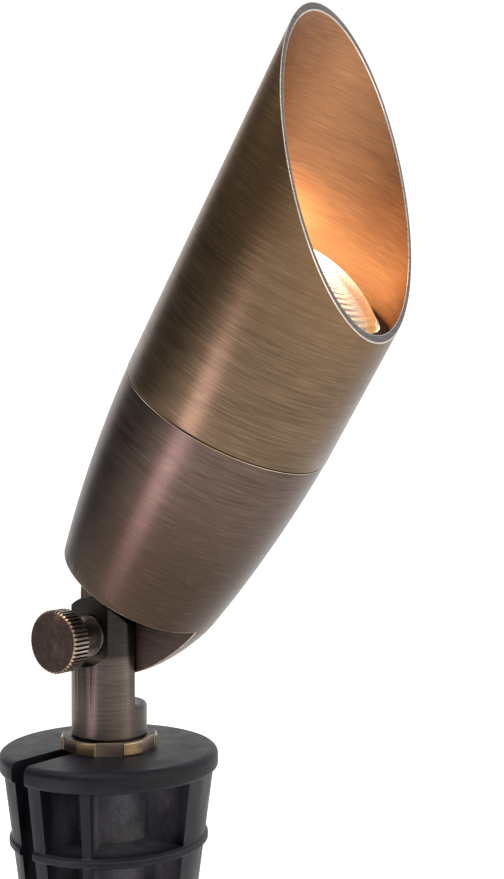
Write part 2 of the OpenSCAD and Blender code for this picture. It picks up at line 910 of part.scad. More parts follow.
ground_stake();
lock_nut();
knuckle_stem();
thumb_screw();
screw_washer();
housing();
shroud();
shroud_seal();
glass_lens();
lens_gasket();
lamp_front_ring();
lamp_heatsink();
lamp_optic();
lamp_board();
lamp_leds();
lamp_base();
lamp_pins();
lamp_socket();
socket_contacts();
socket_bracket();
socket_screws();
bracket_screws();
socket_leads();
crimp_connectors();
cable_grommet();
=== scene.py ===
"""Garden spike spotlight: looks for Blender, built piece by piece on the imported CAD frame."""
import math

import bmesh
import bpy
from mathutils import Euler, Matrix, Vector


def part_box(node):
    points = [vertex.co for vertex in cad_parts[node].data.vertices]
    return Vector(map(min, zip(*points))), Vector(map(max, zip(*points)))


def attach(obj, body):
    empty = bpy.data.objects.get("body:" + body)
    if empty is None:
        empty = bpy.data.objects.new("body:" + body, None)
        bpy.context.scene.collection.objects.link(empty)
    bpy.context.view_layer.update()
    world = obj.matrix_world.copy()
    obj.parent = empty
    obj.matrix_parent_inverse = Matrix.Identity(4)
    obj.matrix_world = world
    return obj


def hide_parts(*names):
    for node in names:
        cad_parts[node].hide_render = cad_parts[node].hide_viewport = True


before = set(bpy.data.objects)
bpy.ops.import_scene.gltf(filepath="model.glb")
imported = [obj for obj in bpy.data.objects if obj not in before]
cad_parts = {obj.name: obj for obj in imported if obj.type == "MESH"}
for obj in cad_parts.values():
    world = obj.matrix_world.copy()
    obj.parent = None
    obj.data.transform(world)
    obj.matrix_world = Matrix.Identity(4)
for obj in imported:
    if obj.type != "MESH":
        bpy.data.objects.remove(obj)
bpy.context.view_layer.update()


# Camera: a short telephoto at the height of the seam between housing and shroud. It stands in front of
# the thumb screw and well round to its right, from where the head leans over to the right.
MM = 0.001
LOOKING = Vector((-0.59765, 0.80160, -0.01574))
camera_data = bpy.data.cameras.new("camera")
camera_data.lens = 55.765
camera = bpy.data.objects.new("camera", camera_data)
camera.location = (274.7 * MM, -297.6 * MM, 97.4 * MM)
camera.rotation_euler = LOOKING.to_track_quat("-Z", "Y").to_euler()
bpy.context.scene.collection.objects.link(camera)
bpy.context.scene.camera = camera


# Paper sweep: a white floor under the spike that curves up far behind the light. It is one sheet of
# seamless paper, lying loose, and it keeps the light's soft shadow.
def linear(code):
    """An sRGB colour such as 78654f as linear red, green and blue."""
    parts = [int(code[i:i + 2], 16) / 255 for i in (0, 2, 4)]
    return [c / 12.92 if c < 0.04045 else ((c + 0.055) / 1.055) ** 2.4 for c in parts] + [1.0]


def add(tree, kind, inputs=None, **settings):
    """Adds a shader node. An input takes a value or the output of another node."""
    new = tree.nodes.new("ShaderNode" + kind)
    for key, value in settings.items():
        setattr(new, key, value)
    for key, value in (inputs or {}).items():
        if isinstance(value, bpy.types.NodeSocket):
            tree.links.new(value, new.inputs[key])
        else:
            new.inputs[key].default_value = value
    return new


def start_material(name):
    """A material with an empty node tree, and the tree and its output."""
    material = bpy.data.materials.new(name)
    material.use_nodes = True
    material.node_tree.nodes.clear()
    return material, material.node_tree, add(material.node_tree, "OutputMaterial")


def place(bm, name, body, materials, replaces=(), sharp=32):
    """Turns a bmesh in metres into a piece that rides on a body, smooth but for its edges."""
    bmesh.ops.recalc_face_normals(bm, faces=bm.faces)
    mesh = bpy.data.meshes.new(name)
    bm.to_mesh(mesh)
    bm.free()
    mesh.shade_smooth()
    mesh.set_sharp_from_angle(angle=math.radians(sharp))
    for material in materials:
        mesh.materials.append(material)
    piece = bpy.data.objects.new(name, mesh)
    bpy.context.scene.collection.objects.link(piece)
    if body:
        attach(piece, body)
    if replaces:
        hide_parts(*replaces)
    return piece


# Seamless paper, uncoated: a matt white that takes a soft shadow. Where the eye, a reflection or a
# look through glass meets it, a little white is added, so that it stays clean.
paper, tree, output = start_material("white_paper")
sheet = add(tree, "BsdfDiffuse", {"Color": linear("f2f2f2")})
glow = add(tree, "Emission", {"Color": (1, 1, 1, 1), "Strength": 0.75})
both = add(tree, "AddShader", {0: sheet.outputs[0], 1: glow.outputs[0]})
path = add(tree, "LightPath")
direct = add(tree, "Math", {0: path.outputs["Is Camera Ray"], 1: path.outputs["Is Glossy Ray"]},
             operation="MAXIMUM")
seen = add(tree, "Math", {0: direct.outputs[0], 1: path.outputs["Is Transmission Ray"]}, operation="MAXIMUM")
paper_shade = add(tree, "MixShader", {0: seen.outputs[0], 1: sheet.outputs[0], 2: both.outputs[0]})
tree.links.new(paper_shade.outputs[0], output.inputs[0])

# The sheet in metres: its side seen from the end, its width, and the turn that brings its curve
# straight behind the light.
SWEEP_SIDE = ((-2.0, 0), (2.0, 0), (2.5, 0.13), (2.75, 0.55), (2.8, 2.6))
SWEEP_WIDTH = 5.2
SWEEP_TURN = math.radians(36.7)
floor_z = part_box("ground_stake")[0].z
sweep = bmesh.new()
side = [sweep.verts.new((-SWEEP_WIDTH / 2, y, z)) for y, z in SWEEP_SIDE]
edges = [sweep.edges.new(pair) for pair in zip(side, side[1:])]
grown = bmesh.ops.extrude_edge_only(sweep, edges=edges)["geom"]
far_side = [v for v in grown if isinstance(v, bmesh.types.BMVert)]
bmesh.ops.translate(sweep, vec=(SWEEP_WIDTH, 0, 0), verts=far_side)
under_spike = Matrix.Translation((0, 0, floor_z)) @ Matrix.Rotation(SWEEP_TURN, 4, "Z")
bmesh.ops.transform(sweep, matrix=under_spike, verts=sweep.verts)
place(sweep, "paper_sweep", None, [paper], sharp=60)


# Studio air: an even white room, to the eye and through glass. Metal also sees the dark end of the
# room, away to the left of the camera, which gives the turned pieces their dark side.
DARK_END = Vector((-0.68, -0.73, 0.0)).normalized()
world = bpy.data.worlds.new("studio")
bpy.context.scene.world = world
world.use_nodes = True
tree = world.node_tree
tree.nodes.clear()
facing = add(tree, "VectorMath", {0: add(tree, "TexCoord").outputs["Generated"], 1: DARK_END},
             operation="DOT_PRODUCT")
mirrored = add(tree, "MapRange", {"Value": facing.outputs["Value"], "From Min": -0.3, "From Max": 0.8,
                                  "To Min": 1.0, "To Max": 0.15}, interpolation_type="SMOOTHSTEP")
path = add(tree, "LightPath")
straight = add(tree, "Math", {0: path.outputs["Is Camera Ray"],
                              1: path.outputs["Is Transmission Ray"]}, operation="MAXIMUM")
# A dull surface takes less light from the room than a mirror shows, so that the lamps shape it.
dim = add(tree, "MapRange", {"Value": mirrored.outputs[0], "To Min": 0.18, "To Max": 0.6})
soft = add(tree, "Mix", {"Factor": path.outputs["Is Glossy Ray"], "A": dim.outputs[0],
                         "B": mirrored.outputs[0]})
level = add(tree, "Mix", {"Factor": straight.outputs[0], "A": soft.outputs[0], "B": 1.0})
ambient = add(tree, "Background", {"Color": (1, 1, 1, 1), "Strength": level.outputs[0]})
tree.links.new(ambient.outputs[0], add(tree, "OutputWorld").inputs[0])
bpy.context.scene.view_settings.view_transform = "Standard"


# Softboxes: three lamps behind white cloth. A strip to the left of the camera leans as the head does
# and draws the soft pink line down the head and the stem. A warm one stands at the right, and one
# hangs overhead.
def softbox(name, where, target, along, width, length, watts, colour):
    """A rectangular area lamp that faces a target, with its long side along a direction."""
    lamp = bpy.data.lights.new(name, "AREA")
    lamp.shape = "RECTANGLE"
    lamp.size = width
    lamp.size_y = length
    lamp.energy = watts
    lamp.color = linear(colour)[:3]
    back = (Vector(where) - Vector(target)).normalized()
    across = Vector(along).cross(back).normalized()
    turn = Matrix((across, back.cross(across), back)).transposed().to_4x4()
    box = bpy.data.objects.new(name, lamp)
    box.matrix_world = Matrix.Translation(where) @ turn
    box.visible_camera = False
    bpy.context.scene.collection.objects.link(box)


softbox("strip_softbox", where=(-0.085, -0.47, -0.143), target=(0.05, 0, 0.09), along=(0.743, -0.232, 0.627),
        width=0.15, length=0.19, watts=0.62, colour="fbe5f8")
softbox("side_softbox", where=(0.95, 0.12, 0.35), target=(0.03, 0, 0.08), along=(0.2, 0, 1),
        width=0.5, length=1.0, watts=3, colour="fff6e8")
softbox("top_softbox", where=(-0.1, -0.35, 1.0), target=(0.03, 0, 0.05), along=(1, 0, 0),
        width=0.7, length=0.7, watts=4, colour="ffffff")


# Ground stake: one injection moulding of black polypropylene with a rounded lip, pocketed head,
# cable slot and crossed fins. Every edge that left the mould is slightly rounded.
def softened(node, name, edge_mm, materials, body, edge_material=-1, segments=2, angle=28):
    """A copy of a CAD node with its facets merged and its edges rounded, which stands for the node."""
    bm = bmesh.new()
    bm.from_mesh(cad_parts[node].data)
    bmesh.ops.remove_doubles(bm, verts=bm.verts, dist=0.002 * MM)
    bmesh.ops.dissolve_limit(bm, angle_limit=math.radians(0.6), verts=bm.verts, edges=bm.edges)
    mesh = bpy.data.meshes.new(name)
    bm.to_mesh(mesh)
    bm.free()
    mesh.shade_smooth()
    mesh.set_sharp_from_angle(angle=math.radians(angle))
    for material in materials:
        mesh.materials.append(material)
    piece = bpy.data.objects.new(name, mesh)
    bpy.context.scene.collection.objects.link(piece)
    rounding = piece.modifiers.new("rounded_edges", "BEVEL")
    rounding.width = edge_mm * MM
    rounding.segments = segments
    rounding.limit_method = "ANGLE"
    rounding.angle_limit = math.radians(angle)
    rounding.material = edge_material
    rounding.harden_normals = True
    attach(piece, body)
    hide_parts(node)
    return piece


# Polypropylene, injection moulded: a dull black skin with a fine pebble of about 0.5 mm from the
# spark-eroded mould, and faint grey scuffs a centimetre long. Faces that look up are a little greyer:
# that is painted light from above.
polypropylene, tree, output = start_material("moulded_polypropylene")
spot = add(tree, "TexCoord").outputs["Object"]
pebble = add(tree, "TexNoise", {"Vector": spot, "Scale": 1 / (0.5 * MM), "Detail": 3.0})
scuffs = add(tree, "Mapping", {"Vector": spot, "Scale": (1 / (9 * MM), 1 / (9 * MM), 1 / (14 * MM))})
scuff = add(tree, "TexNoise", {"Vector": scuffs.outputs[0], "Scale": 1.0, "Detail": 5.0, "Roughness": 0.65})
rubbed = add(tree, "MapRange", {"Value": scuff.outputs[0], "From Min": 0.4, "From Max": 0.75})
skin = add(tree, "Mix", {0: rubbed.outputs[0], 6: linear("0e0f14"), 7: linear("201f27")}, data_type="RGBA")
level = add(tree, "SeparateXYZ", {0: add(tree, "NewGeometry").outputs["Normal"]})
upward = add(tree, "MapRange", {"Value": level.outputs["Z"], "From Min": 0.3, "To Max": 0.65})
# Painted light: faces that look up are mixed towards a paler grey.
painted_top_light = add(tree, "Mix", {0: upward.outputs[0], 6: skin.outputs[2], 7: linear("29272f")}, data_type="RGBA")
# Pale dust lies in blotches deep in the pockets of the head, and the same pale patches stand in for the
# front light on their back walls: dust and painted light together. It starts this far from the spike's
# axis and is full at their back, and it fades out over 4 mm under the lip and above their floor.
DUST_AND_LIGHT_STARTS = 27 * MM
POCKET_BACK = 20 * MM
POCKET_TOP = -4 * MM
POCKET_FLOOR = -47 * MM
DUST_AND_LIGHT_FADE = 4 * MM
flat = add(tree, "VectorMath", {0: spot, 1: (1, 1, 0)}, operation="MULTIPLY")
reach = add(tree, "VectorMath", {0: flat.outputs[0]}, operation="LENGTH")
depth = add(tree, "MapRange", {"Value": reach.outputs["Value"], "From Min": DUST_AND_LIGHT_STARTS,
                               "From Max": POCKET_BACK})
height = add(tree, "SeparateXYZ", {0: spot})
below = add(tree, "MapRange", {"Value": height.outputs["Z"], "From Min": POCKET_TOP,
                               "From Max": POCKET_TOP - DUST_AND_LIGHT_FADE})
grey = add(tree, "MapRange", {"Value": pebble.outputs[0], "From Min": 0.3, "From Max": 0.7,
                              "To Min": 0.55, "To Max": 0.95})
above = add(tree, "MapRange", {"Value": height.outputs["Z"], "From Min": POCKET_FLOOR,
                               "From Max": POCKET_FLOOR + DUST_AND_LIGHT_FADE})
between = add(tree, "Math", {0: below.outputs[0], 1: above.outputs[0]}, operation="MULTIPLY")
deep = add(tree, "Math", {0: depth.outputs[0], 1: between.outputs[0]}, operation="MULTIPLY")
patches = add(tree, "MapRange", {"Value": scuff.outputs[0], "From Min": 0.36, "From Max": 0.6, "To Min": 0.4})
blotched = add(tree, "Math", {0: grey.outputs[0], 1: patches.outputs[0]}, operation="MULTIPLY")
# Dust and painted light: the pockets' back walls are mixed towards a pale grey.
dust_and_painted_light = add(tree, "Math", {0: deep.outputs[0], 1: blotched.outputs[0]}, operation="MULTIPLY")
colour = add(tree, "Mix", {0: dust_and_painted_light.outputs[0], 6: painted_top_light.outputs[2], 7: linear("7a777f")}, data_type="RGBA")
dull = add(tree, "MapRange", {"Value": scuff.outputs[0], "From Min": 0.3, "From Max": 0.75,
                              "To Min": 0.4, "To Max": 0.6})
relief = add(tree, "Bump", {"Height": pebble.outputs[0], "Strength": 0.35, "Distance": 0.06 * MM})
shine = add(tree, "BsdfPrincipled", {"Base Color": colour.outputs[2], "Roughness": dull.outputs[0],
                                     "IOR": 1.49, "Specular IOR Level": 0.2, "Normal": relief.outputs[0]})
tree.links.new(shine.outputs[0], output.inputs[0])


def grained(name, low, high, grain_mm, inputs, relief_mm=0.01):
    """A finish of one stuff: two tones in grains of a given size in millimetres, with a slight relief."""
    material, tree, output = start_material(name)
    spot = add(tree, "Mapping", {"Vector": add(tree, "TexCoord").outputs["Object"],
                                 "Scale": [1 / (size * MM) for size in grain_mm]})
    grain = add(tree, "TexNoise", {"Vector": spot.outputs[0], "Scale": 1.0, "Detail": 3.0})
    tone = add(tree, "MapRange", {"Value": grain.outputs[0], "From Min": 0.3, "From Max": 0.7})
    colour = add(tree, "Mix", {0: tone.outputs[0], 6: linear(low), 7: linear(high)}, data_type="RGBA")
    relief = add(tree, "Bump", {"Height": grain.outputs[0], "Strength": 0.5, "Distance": relief_mm * MM})
    shine = add(tree, "BsdfPrincipled", {"Base Color": colour.outputs[2], "Normal": relief.outputs[0],
                                         **inputs})
    tree.links.new(shine.outputs[0], output.inputs[0])
    return material


# The same plastic, rubbed along the edges by soil and hands: slightly greyer and smoother. The greyer
# tone is also a painted highlight along the rounded edges.
rubbed_edge_highlight = grained("rubbed_polypropylene_edge_highlight", "302f37", "4d4c57", (1.2, 1.2, 1.2),
                      {"Roughness": 0.42, "IOR": 1.49, "Specular IOR Level": 0.32}, relief_mm=0.02)
softened("ground_stake", "stake_moulding", edge_mm=1.0, materials=[polypropylene, rubbed_edge_highlight], body="stake",
         edge_material=1, segments=3)


# Lock nut: turned brass with six milled lugs, screwed down on the stake round the stem. The plating
# is brown on the flats and worn to gold on the lugs and along every edge, where a painted glint lies on
# the gold.
def turned_bronze(name, dark, base, tint, rough, groove_mm=0.3, stroke_mm=11, turn=(0, 0, 0), start=(0, 0, 0),
                  far=None, bite=0.12):
    """Antique bronze plate on brass, brushed in the lathe. It gives fine rings round the piece's axis
    in strokes of a centimetre, hairlines where grit bit deeper, and a slow drift of colour. The real
    strokes are about 0.1 mm wide and are drawn three times as wide, so that they show. dark, base and
    tint are its colours in the grooves, between them and where it drifted. turn and start lay the
    piece's own axis along Z. far holds a colour that the plating turns to, how far it does, and the
    heights in millimetres where that starts and is full. bite is how much the hairlines show, and
    rough is how dull the plating is."""
    material, tree, output = start_material(name)
    along = add(tree, "Mapping", {"Vector": add(tree, "TexCoord").outputs["Object"],
                                  "Location": start, "Rotation": turn}).outputs[0]
    # Length round the piece and width along it in millimetres, and detail, of each kind of mark.
    marks = {"stroke": (stroke_mm, groove_mm, 2.0), "hair": (6, groove_mm * 0.8, 0.0),
             "band": (20, groove_mm * 9, 1.0), "patina": (34, 50, 2.0)}
    layers = {}
    for mark, (length, width, detail) in marks.items():
        size = (1 / (length * MM), 1 / (length * MM), 1 / (width * MM))
        scaled = add(tree, "Mapping", {"Vector": along, "Scale": size})
        layers[mark] = add(tree, "TexNoise", {"Vector": scaled.outputs[0], "Scale": 1.0,
                                              "Detail": detail}).outputs[0]
    half = add(tree, "Math", {0: layers["band"], 1: 0.35}, operation="MULTIPLY")
    streak = add(tree, "Math", {0: layers["stroke"], 1: half.outputs[0]}, operation="ADD")
    depth = add(tree, "MapRange", {"Value": streak.outputs[0], "From Min": 0.42, "From Max": 0.92})
    brushed = add(tree, "Mix", {0: depth.outputs[0], 6: linear(dark), 7: linear(base)}, data_type="RGBA")
    drift = add(tree, "MapRange", {"Value": layers["patina"], "From Min": 0.35, "From Max": 0.7,
                                   "To Max": 0.55})
    aged = add(tree, "Mix", {0: drift.outputs[0], 6: brushed.outputs[2], 7: linear(tint)}, data_type="RGBA")
    if far:
        far_colour, share, starts_mm, full_mm = far
        height = add(tree, "SeparateXYZ", {0: along})
        rise = add(tree, "MapRange", {"Value": height.outputs["Z"], "From Min": starts_mm * MM,
                                      "From Max": full_mm * MM, "To Max": share},
                   interpolation_type="SMOOTHSTEP")
        aged = add(tree, "Mix", {0: rise.outputs[0], 6: aged.outputs[2], 7: linear(far_colour)},
                   data_type="RGBA")
    nick = add(tree, "MapRange", {"Value": layers["hair"], "From Min": 0.62, "From Max": 0.74,
                                  "To Max": bite})
    colour = add(tree, "Mix", {0: nick.outputs[0], 6: aged.outputs[2], 7: linear("b79c80")}, data_type="RGBA")
    gloss = add(tree, "MapRange", {"Value": layers["stroke"], "From Min": 0.3, "From Max": 0.7,
                                   "To Min": rough - 0.05, "To Max": rough + 0.06})
    relief = add(tree, "Bump", {"Height": layers["stroke"], "Strength": 0.6, "Distance": 0.03 * MM})
    lay = Euler(turn).to_matrix().transposed() @ Vector((0, 0, 1))
    axis = add(tree, "CombineXYZ", {0: lay.x, 1: lay.y, 2: lay.z})
    shine = add(tree, "BsdfPrincipled", {
        "Base Color": colour.outputs[2], "Metallic": 1.0, "Roughness": gloss.outputs[0], "Anisotropic": 0.5,
        "Normal": relief.outputs[0], "Tangent": axis.outputs[0]})
    tree.links.new(shine.outputs[0], output.inputs[0])
    return material


# Aged plate on the flats: a middling brown with faint rings.
nut_flats = turned_bronze("aged_nut_bronze", "75655c", "a08f84", "938377", 0.4)
# Plate rubbed thin by the wrench on the fronts of the lugs: the brass shows through as dull gold.
nut_gold = turned_bronze("worn_brass_edge", "7a6755", "ae9676", "97805f", 0.38)
# Bare brass along the corners, with a painted glint: a thin bright line of gold.
nut_edge_glint = turned_bronze("brass_edge_painted_glint", "b39569", "efdab0", "d6ba8e", 0.34)
# Thick plate on milled faces that look up, which nothing rubs: a dull grey, nearly black.
milled_face = turned_bronze("milled_face_bronze", "2b2725", "4f4944", "443f3b", 0.46)
nut = softened("lock_nut", "lock_nut_milled", edge_mm=0.26,
               materials=[nut_flats, nut_gold, nut_edge_glint, milled_face], body="nut",
               edge_material=2)

# The lugs: how far the first is turned and how far apart they are in degrees, half the angle that
# one takes up, and the radius beyond which a face belongs to one.
LUG_TURN = -17.5
LUG_STEP = 60
LUG_HALF_ANGLE = 12.8
LUG_RADIUS = 13.5 * MM
for face in nut.data.polygons:
    if face.normal.z > 0.9:
        face.material_index = 3
    heading = math.degrees(math.atan2(face.center.y, face.center.x))
    from_lug = (heading - LUG_TURN + LUG_STEP / 2) % LUG_STEP - LUG_STEP / 2
    far_out = math.hypot(face.center.x, face.center.y) > LUG_RADIUS
    if abs(face.normal.z) < 0.5 and far_out and abs(from_lug) < LUG_HALF_ANGLE:
        face.material_index = 1


# Knuckle stem: turned brass bar with a half-inch pipe thread below, screwed into the stake. Above its
# full round foot it is milled to a tongue, with a flat spot face under the washer.

# Aged plate: a greyish brown with few hairlines. Above 28 mm it turns nearly black: painted shade of
# the knob and the head over the tongue.
stem_bronze = turned_bronze("stem_bronze_plate", "453d39", "6a6059", "605450", 0.4, bite=0.04,
                            far=("2a2929", 0.8, 27, 29))
stem = softened("knuckle_stem", "knuckle_stem_turned", edge_mm=0.35, materials=[stem_bronze, milled_face],
                body="stem")

# The ledge on top of the foot has a wider rounding on its outer corner than the other edges have, and
# its top is a milled face. Only the foot reaches this far behind the tongue. The corner's edges lie
# beyond this radius and are no longer than a facet.
BEHIND_TONGUE = 2 * MM
CORNER_RADIUS = 11 * MM
LONGEST_FACET = 3 * MM
bm = bmesh.new()
bm.from_mesh(stem.data)
ledge_z = max(v.co.z for v in bm.verts if v.co.y > BEHIND_TONGUE)


def on_corner(edge):
    """Whether an edge runs round the ledge's outer corner."""
    outside = all(abs(v.co.z - ledge_z) < 0.02 * MM and v.co.xy.length > CORNER_RADIUS for v in edge.verts)
    return outside and edge.calc_length() < LONGEST_FACET


bmesh.ops.bevel(bm, geom=[e for e in bm.edges if on_corner(e)], offset=1.0 * MM, segments=4, profile=0.5,
                affect="EDGES", material=-1)
for face in bm.faces:
    rise = face.calc_center_median().z - ledge_z
    if face.normal.z > 0.9 and -0.4 * MM < rise < 0.1 * MM:
        face.material_index = 1
bm.to_mesh(stem.data)
bm.free()


# Thumb screw and washer: a knurled brass knob on a short neck, and a pressed brass washer. The screw
# clamps the stem's tongue against the ear of the head, so it lies across the light at the pivot.

# PIVOT_MM is the height of the pivot above the top of the stake.
PIVOT_MM = 34
SCREW_AXIS = {"turn": (math.pi / 2, 0, 0), "start": (0, PIVOT_MM * MM, 0)}
# Aged plate: dark brown on the face of the knob. The paler grey on the neck behind it is painted light
# in the shade between the knob and the washer.
screw_bronze = turned_bronze("knob_bronze_plate", "332926", "4b3f39", "42352f", 0.38,
                             far=("7a716b", 0.85, -18.2, -17.2), **SCREW_AXIS)
# Knurl that fingers have polished, with a painted highlight: pale, with a soft shine on each ridge
# and along every rounded edge of the knob.
knurl_bronze_highlight = turned_bronze("worn_knurl_painted_highlight", "7f726b", "b9ada4", "9f9289", 0.36, **SCREW_AXIS)
# A painted highlight round the face of the knob: a coppery ring.
knob_rim_highlight = turned_bronze("knob_rim_painted_highlight", "8a6a50", "d9b294", "bd9475", 0.34, **SCREW_AXIS)
knob = softened("thumb_screw", "thumb_screw_knurled", edge_mm=0.16,
                materials=[screw_bronze, knurl_bronze_highlight, knob_rim_highlight], body="screw",
                edge_material=1)

# The rim starts here on the screw's axis, and the knurl's ridges stand out beyond this radius.
RIM_Y = -23.0 * MM
KNURL_RADIUS = 8.85 * MM
for face in knob.data.polygons:
    if face.center.y < RIM_Y and abs(face.normal.y) < 0.9:
        face.material_index = 2
    out = math.hypot(face.center.x, face.center.z - PIVOT_MM * MM)
    if out > KNURL_RADIUS and abs(face.normal.y) < 0.3:
        face.material_index = 1
softened("screw_washer", "screw_washer_pressed", edge_mm=0.2, materials=[screw_bronze], body="washer")


# Housing: turned brass, closed at the foot, with the ear of the knuckle standing out below it. The
# outside is brushed in the lathe. At rest it leans by 32.8 degrees on the pivot.

# The lean, and how far the head's axis passes beside the pivot in millimetres.
TILT = math.radians(32.8)
OFFSET_MM = 2.2
HEAD_AXIS = {"turn": (0, -TILT, 0),
             "start": ((PIVOT_MM * math.sin(TILT) - OFFSET_MM) * MM, 0, -PIVOT_MM * math.cos(TILT) * MM)}
# Aged plate, brushed: a warm brown that darkens from the seam, at 76 mm, down to the foot, at 34 mm.
housing_bronze = turned_bronze("housing_bronze_plate", "463a34", "6b5b52", "604f48", 0.34, bite=0.06,
                               far=("41342b", 0.85, 76, 34), **HEAD_AXIS)
# Plate worn off the edges, with a painted glint on them: a hair of pale gold along the seam and the foot.
housing_edge_glint = turned_bronze("worn_housing_edge_glint", "b39c80", "f0dcc0", "d8c0a4", 0.32, **HEAD_AXIS)
# Plate on the milled sides of the ear: a duller, greyer brown, kept lighter than the dark foot of the
# housing as painted light on them.
ear_bronze_painted_light = turned_bronze("milled_ear_bronze_painted_light", "443935", "5f524c", "544841", 0.42)
shell = softened("housing", "housing_turned", edge_mm=0.42,
                 materials=[housing_bronze, housing_edge_glint, ear_bronze_painted_light], body="head",
                 edge_material=1)

# The ear's sides face along Y and lie within this distance of the middle.
EAR_REACH = 14 * MM
for face in shell.data.polygons:
    if abs(face.normal.y) > 0.98 and abs(face.center.y) < EAR_REACH:
        face.material_index = 2


# Cable grommet: a moulded ring of black rubber, snapped into the hole in the foot of the housing. It
# keeps the edge of the brass off the supply cable that comes up there.
def dress(material, *nodes):
    """Gives CAD nodes, whose shapes are right as they are, their real finish."""
    for name in nodes:
        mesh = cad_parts[name].data
        mesh.materials.clear()
        mesh.materials.append(material)


# Nitrile rubber, moulded: a soft black with a faint bloom in patches of a millimetre.
rubber = grained("black_rubber", "141416", "222224", (1.2, 1.2, 1.2), {"Roughness": 0.55, "IOR": 1.52},
                 relief_mm=0.02)
dress(rubber, "cable_grommet")


# Socket bracket: a bent strip of zinc-plated steel on the floor of the housing, held by two screws.
# Two more hold the lamp socket on top of it.

# Zinc plate, dipped: a bluish silver, clouded in patches of a few millimetres.
zinc = grained("zinc_plated_steel", "8f9498", "c3c7ca", (2.5, 2.5, 2.5), {"Metallic": 1.0, "Roughness": 0.35})
dress(zinc, "socket_bracket", "bracket_screws", "socket_screws")


# Lamp socket: a block of pressed steatite, which stands the heat, with two contacts of spring brass
# in its pockets. They grip the pins of the lamp.

# Steatite, pressed and fired: a matt bone white with a sandy grain of half a millimetre or so.
steatite = grained("pressed_steatite", "ddd8cc", "f0ece2", (0.6, 0.6, 0.6), {"Roughness": 0.7, "IOR": 1.6},
                   relief_mm=0.03)
# Spring brass, rolled: a clean yellow with fine roll lines, about 0.3 mm apart.
spring_brass = grained("spring_brass", "b8944c", "e0bd72", (1.5, 1.5, 0.3),
                       {"Metallic": 1.0, "Roughness": 0.3})
dress(steatite, "lamp_socket")
dress(spring_brass, "socket_contacts")


# Leads and crimps: two short wires in silicone sleeve run down from the socket's contacts. Each ends
# in a closed crimp of red nylon, ready to be joined to the supply.

# Silicone rubber, extruded: a matt cream with soft draw marks of a few millimetres.
silicone = grained("silicone_sleeve", "cfcabd", "e4e0d4", (0.8, 0.8, 3), {"Roughness": 0.6})
# Nylon, moulded: an even brick red with a slight shine.
nylon = grained("red_nylon", "8e2b25", "a83a30", (2, 2, 2), {"Roughness": 0.35})
dress(silicone, "socket_leads")
dress(nylon, "crimp_connectors")


# Lamp: a two-pin reflector lamp, plugged into the socket. Its black fins and its grey front ring with
# twenty vents are die-cast, its base is ivory plastic, and a clear optic of three lens cups covers
# the lit emitters on their board.

# Thermoplastic, moulded: a smooth ivory.
ivory = grained("ivory_base_plastic", "d8d2bf", "e8e3d3", (1.5, 1.5, 1.5), {"Roughness": 0.4})
# Nickel plate on drawn wire: a bright silver with faint lines along the pin.
plated = grained("nickel_plated_pins", "b5b8bb", "dcdee0", (1, 1, 3), {"Metallic": 1.0, "Roughness": 0.25})
# Heat-proof paint, baked: a satin black with an orange peel of 0.7 mm.
black_paint = grained("black_heat_paint", "16171a", "26282b", (0.7, 0.7, 0.7),
                      {"Roughness": 0.45, "IOR": 1.5}, relief_mm=0.03)
# Metallic paint, sprayed: a satin dark grey with a grain of about half a millimetre.
grey_paint = grained("grey_satin_paint", "3c3e44", "4c4e55", (0.6, 0.6, 0.6),
                     {"Metallic": 0.4, "Roughness": 0.38}, relief_mm=0.02)
# Solder mask, printed: a plain white, very slightly yellow.
mask = grained("white_solder_mask", "dcdccc", "ecece0", (3, 3, 3), {"Roughness": 0.5})
dress(ivory, "lamp_base")
dress(plated, "lamp_pins")
dress(mask, "lamp_board")
softened("lamp_heatsink", "lamp_heatsink_cast", edge_mm=0.3, materials=[black_paint], body="head")
softened("lamp_front_ring", "lamp_front_ring_cast", edge_mm=0.25, materials=[grey_paint], body="head")

# Yellow phosphor under a drop of silicone, lit: a warm white, too bright to look at.
phosphor, tree, output = start_material("lit_yellow_phosphor")
light = add(tree, "Emission", {"Color": linear("ffd9a0"), "Strength": 12.0})
tree.links.new(light.outputs[0], output.inputs[0])
dress(phosphor, "lamp_leds")

# Acrylic, moulded clear and polished: it carries the light of the emitters, shown as a painted glow in
# all of it.
optic, tree, output = start_material("clear_acrylic_painted_glow")
clear = add(tree, "BsdfPrincipled", {"Base Color": linear("f4f6ff"), "Roughness": 0.08, "IOR": 1.49,
                                     "Transmission Weight": 1.0, "Emission Color": linear("ffe2b4"),
                                     "Emission Strength": 0.9})
tree.links.new(clear.outputs[0], output.inputs[0])
dress(optic, "lamp_optic")


# Lens gasket: a ring of black silicone rubber, moulded with a groove for the edge of the glass. It is
# pushed into the mouth of the housing and keeps the rain out.

# Silicone rubber, moulded: a deep black with a dull sheen.
gasket_rubber = grained("black_silicone", "0b0b0c", "151517", (1.0, 1.0, 1.0),
                        {"Roughness": 0.5, "IOR": 1.43})
softened("lens_gasket", "lens_gasket_moulded", edge_mm=0.2, materials=[gasket_rubber], body="head")


# Lens: a clear glass dome, pressed in a mould with fine concentric ribs. Its plain edge sits in the
# groove of the gasket.
def head_place(bm):
    """Puts what is made along Z in millimetres at the head's tilt on the knuckle's pivot."""
    at_pivot = Matrix.Translation((0, 0, PIVOT_MM)) @ Matrix.Rotation(TILT, 4, "Y")
    beside = at_pivot @ Matrix.Translation((OFFSET_MM, 0, 0))
    bmesh.ops.transform(bm, matrix=Matrix.Scale(MM, 4) @ beside, verts=bm.verts)


def turned(profile, steps=160, closed=True):
    """A body of revolution round Z from points of radius and height."""
    bm = bmesh.new()
    points = [bm.verts.new((r, 0, z)) for r, z in profile]
    pairs = list(zip(points, points[1:])) + ([(points[-1], points[0])] if closed else [])
    edges = [bm.edges.new(pair) for pair in pairs]
    bmesh.ops.spin(bm, geom=points + edges, cent=(0, 0, 0), axis=(0, 0, 1), angle=math.tau,
                   steps=steps, use_merge=True)
    bmesh.ops.remove_doubles(bm, verts=bm.verts, dist=0.001)
    return bm
